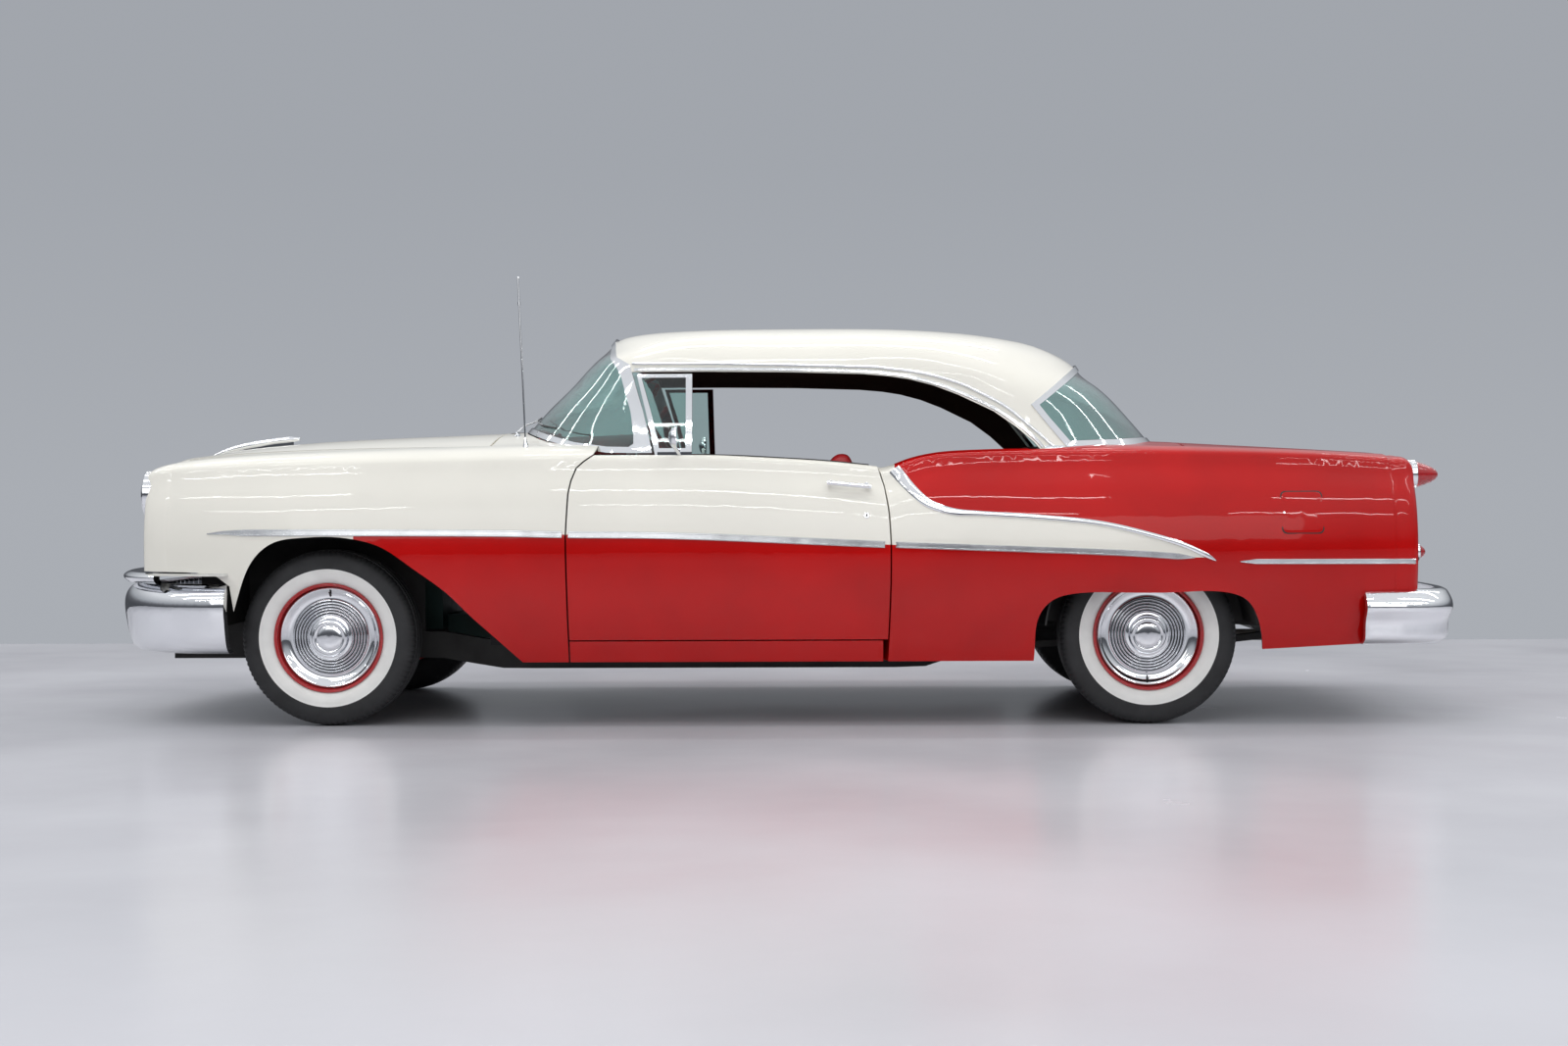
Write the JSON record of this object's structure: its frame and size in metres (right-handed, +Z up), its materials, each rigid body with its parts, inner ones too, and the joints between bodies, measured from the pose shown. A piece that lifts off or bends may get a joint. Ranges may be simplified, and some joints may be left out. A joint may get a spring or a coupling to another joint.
{
  "type": "two-door hardtop car",
  "caption": "Full-size two-door hardtop car of the mid nineteen-fifties with wrap-round glass, two-tone paint, opening doors, hood and trunk, and steering.",
  "frame": {"origin": "centre of the bounding box on the ground plane", "axes": "-X towards the front of the car, -Y towards its left side, +Z up"},
  "size_m": [5.2009, 1.968, 1.7049],
  "materials": {
    "paint_white": "smooth gloss white paint",
    "paint_red": "smooth gloss red paint",
    "paint_interior": "satin red paint",
    "underbody": "matte black paint",
    "engine_iron": "painted casting",
    "exhaust_steel": "dull steel tube",
    "tank_steel": "dull pressed steel",
    "chrome": "polished bright plating",
    "glass_green": "lightly green tinted glass",
    "lens_clear": "clear ribbed glass",
    "lens_red": "gloss red lens",
    "tyre": "black rubber with a white band on the outer wall",
    "wheel_metal": "bright hub cover on a painted rim",
    "seat_leather": "red vinyl with grey inserts",
    "interior_cloth": "grey woven cloth",
    "wheel_plastic": "ivory hard plastic"
  },
  "bodies": {
    "body": {"frame": "underbody", "engine": "engine_iron", "exhaust": "exhaust_steel", "fuel_tank": "tank_steel", "front_suspension": "underbody", "rear_axle": "underbody", "floor": "underbody", "wheel_houses": "underbody", "fender_left": "paint_white", "fender_right": "paint_white", "cowl": "paint_white", "dashboard": "paint_interior", "sills": "paint_red", "quarter_left": "paint_red", "quarter_right": "paint_red", "rear_deck": "paint_red", "package_shelf": "interior_cloth", "roof": "paint_white", "windshield": "glass_green", "rear_window": "glass_green", "window_mouldings": "chrome", "headlamp_lenses": "lens_clear", "lamp_rims": "chrome", "tail_lamp_lenses": "lens_red", "bumper_front": "chrome", "bumper_rear": "chrome", "grille": "chrome", "front_valance": "paint_white", "tail_panel": "paint_red", "front_seat": "seat_leather", "rear_seat": "seat_leather", "antenna": "chrome"},
    "hood": {"hood": "paint_white", "hood_ornament": "chrome"},
    "trunk_lid": {"trunk_lid": "paint_red"},
    "door_left": {"door_left": "paint_white", "vent_frame_left": "chrome", "vent_glass_left": "glass_green", "door_fittings_left": "chrome"},
    "door_right": {"door_right": "paint_white", "vent_frame_right": "chrome", "vent_glass_right": "glass_green", "door_fittings_right": "chrome"},
    "knuckle_left": {"knuckle_left": "underbody"},
    "knuckle_right": {"knuckle_right": "underbody"},
    "wheel_front_left": {"wheel_front_left": "wheel_metal", "tyre_front_left": "tyre"},
    "wheel_front_right": {"wheel_front_right": "wheel_metal", "tyre_front_right": "tyre"},
    "wheel_rear_left": {"wheel_rear_left": "wheel_metal", "tyre_rear_left": "tyre"},
    "wheel_rear_right": {"wheel_rear_right": "wheel_metal", "tyre_rear_right": "tyre"},
    "steering_wheel": {"steering_wheel": "wheel_plastic"}
  },
  "joints": [
    {"name": "steer_left", "type": "hinge", "parent": "body", "child": "knuckle_left", "pos_m": [-1.68, -0.6675, 0.335], "axis": [0, 0, 1], "range_deg": [-30, 30]},
    {"name": "steer_right", "type": "hinge", "parent": "body", "child": "knuckle_right", "pos_m": [-1.68, 0.6675, 0.335], "axis": [0, 0, 1], "range_deg": [-30, 30]},
    {"name": "wheel_front_left_spin", "type": "hinge", "parent": "knuckle_left", "child": "wheel_front_left", "pos_m": [-1.68, -0.7495, 0.335], "axis": [0, 1, 0], "continuous": true},
    {"name": "wheel_front_right_spin", "type": "hinge", "parent": "knuckle_right", "child": "wheel_front_right", "pos_m": [-1.68, 0.7495, 0.335], "axis": [0, 1, 0], "continuous": true},
    {"name": "wheel_rear_left_spin", "type": "hinge", "parent": "body", "child": "wheel_rear_left", "pos_m": [1.419, -0.7365, 0.335], "axis": [0, 1, 0], "continuous": true},
    {"name": "wheel_rear_right_spin", "type": "hinge", "parent": "body", "child": "wheel_rear_right", "pos_m": [1.419, 0.7365, 0.335], "axis": [0, 1, 0], "continuous": true},
    {"name": "steering_wheel_turn", "type": "hinge", "parent": "body", "child": "steering_wheel", "pos_m": [-0.38989, -0.38502, 0.96496], "axis": [0.866, 0, 0.5], "range_deg": [-420, 420]},
    {"name": "door_left_hinge", "type": "hinge", "parent": "body", "child": "door_left", "pos_m": [-0.731, -0.9745, 0.65], "axis": [0, 0, -1], "range_deg": [0, 65]},
    {"name": "door_right_hinge", "type": "hinge", "parent": "body", "child": "door_right", "pos_m": [-0.731, 0.9745, 0.65], "axis": [0, 0, 1], "range_deg": [0, 65]},
    {"name": "hood_hinge", "type": "hinge", "parent": "body", "child": "hood", "pos_m": [-1.082, 0, 1.126], "axis": [0, 1, 0], "range_deg": [0, 50]},
    {"name": "trunk_hinge", "type": "hinge", "parent": "body", "child": "trunk_lid", "pos_m": [1.584, 0, 1.079], "axis": [0, -1, 0], "range_deg": [0, 70]}
  ],
  "couplings": [
    {"joint": "steer_right", "follows": "steer_left", "ratio": 1},
    {"joint": "steering_wheel_turn", "follows": "steer_left", "ratio": 14}
  ]
}
